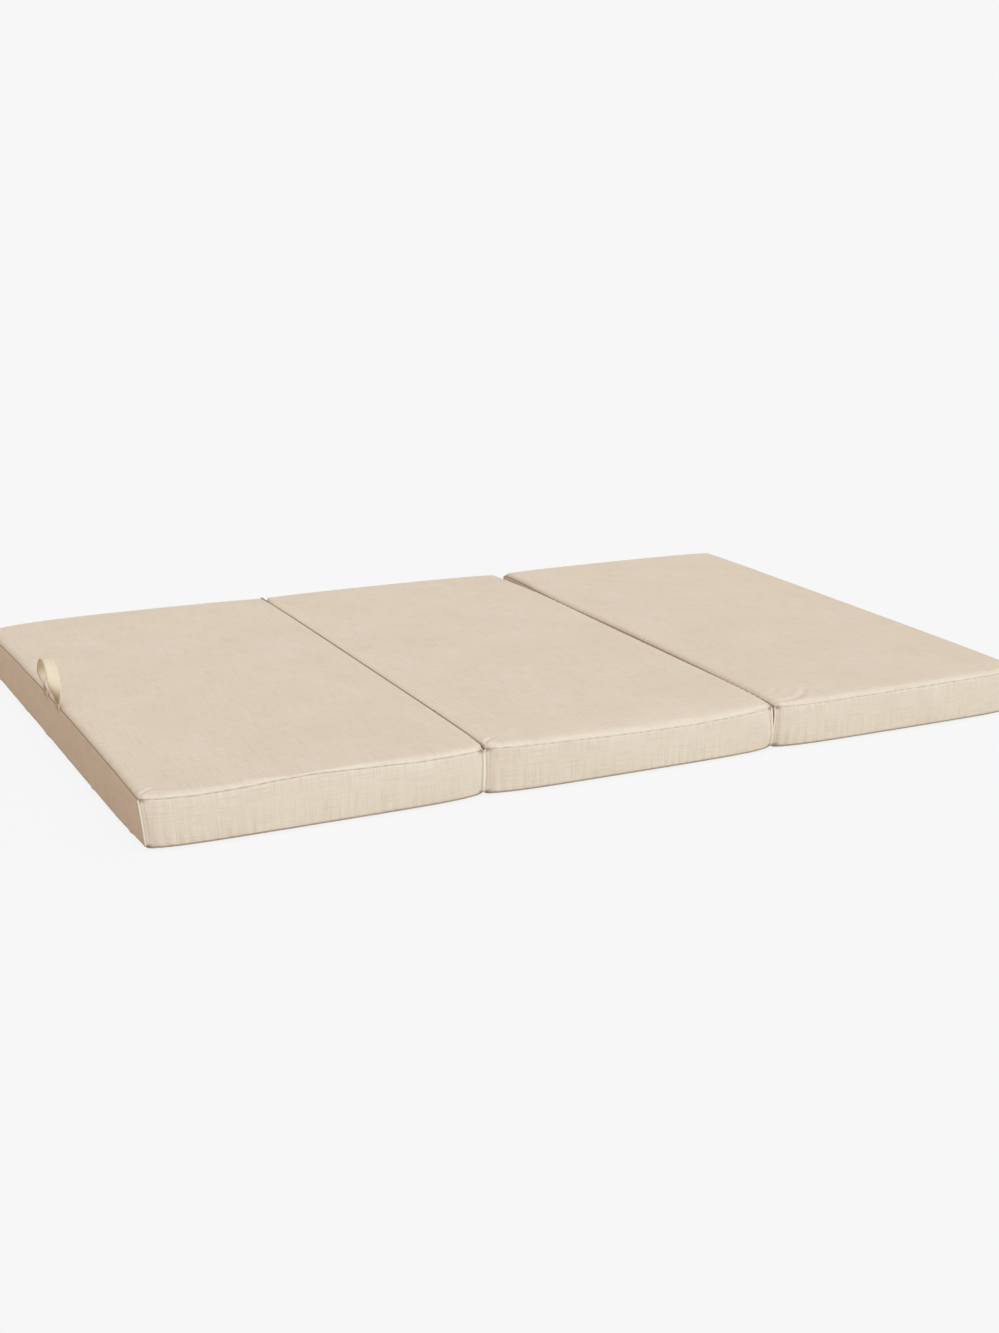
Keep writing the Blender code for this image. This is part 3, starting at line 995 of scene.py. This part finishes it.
def arrayAlongX(obj, pitch, length):
    # repeats a tooth or stitch along the whole zip
    repeat = obj.modifiers.new("repeat", "ARRAY")
    repeat.use_relative_offset = False
    repeat.use_constant_offset = True
    repeat.constant_offset_displace = (pitch, 0, 0)
    repeat.count = int(length / pitch)
    applyModifiers(obj)


def addCoil(side):
    # each tooth is a bent loop of nylon, hooked over the next one from the other side
    low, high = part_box(f"zip_coil_{side}")
    y = (low[1] + high[1]) / 2
    teeth = []
    for step, lean in ((0.25, zipRun["lean"]), (0.75, -zipRun["lean"])):
        deselectAll()
        place = (low[0] + step * zipRun["pitch"], y, zipSlot["height"] + lean)
        bpy.ops.mesh.primitive_uv_sphere_add(segments=8, ring_count=6, radius=0.5, location=place,
                                             scale=(zipRun["tooth"], high[1] - low[1], zipRun["toothAcross"]))
        settle(bpy.context.object)
        teeth.append(bpy.context.object)
    deselectAll()
    for tooth in teeth:
        tooth.select_set(True)
    bpy.context.view_layer.objects.active = teeth[0]
    bpy.ops.object.join()
    obj = bpy.context.object
    obj.name = f"zipCoil{side.capitalize()}"
    arrayAlongX(obj, zipRun["pitch"], high[0] - low[0])
    bpy.ops.object.shade_smooth()
    dress(obj, coilNylon)
    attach(obj, f"{side}_panel")
    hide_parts(f"zip_coil_{side}")


def addZipStitching(side):
    # one row of lockstitch above the slot and one below it
    low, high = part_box(f"zip_tape_{side}")
    for name, sign in (("Upper", 1), ("Lower", -1)):
        z = zipSlot["height"] + sign * (zipSlot["half"] + zipRun["stitchFromSlot"])
        place = (low[0] + zipRun["stitchFromEnd"], zipRun["stitchY"], z)
        deselectAll()
        bpy.ops.mesh.primitive_uv_sphere_add(segments=8, ring_count=5, radius=0.5, location=place,
                                             scale=zipRun["stitch"])
        obj = bpy.context.object
        obj.name = f"zipStitching{name}{side.capitalize()}"
        settle(obj)
        arrayAlongX(obj, zipRun["stitchPitch"], high[0] - low[0])
        bpy.ops.object.shade_smooth()
        dress(obj, cottonThread)
        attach(obj, f"{side}_panel")


for side in sides:
    addCoil(side)
    addZipStitching(side)
    dress(frame["nodes"][f"zip_tape_{side}"], zipTape)
    for node in ("zip_slider", "zip_pull"):
        dress(frame["nodes"][f"{node}_{side}"], zincEnamel)
print("zips made")
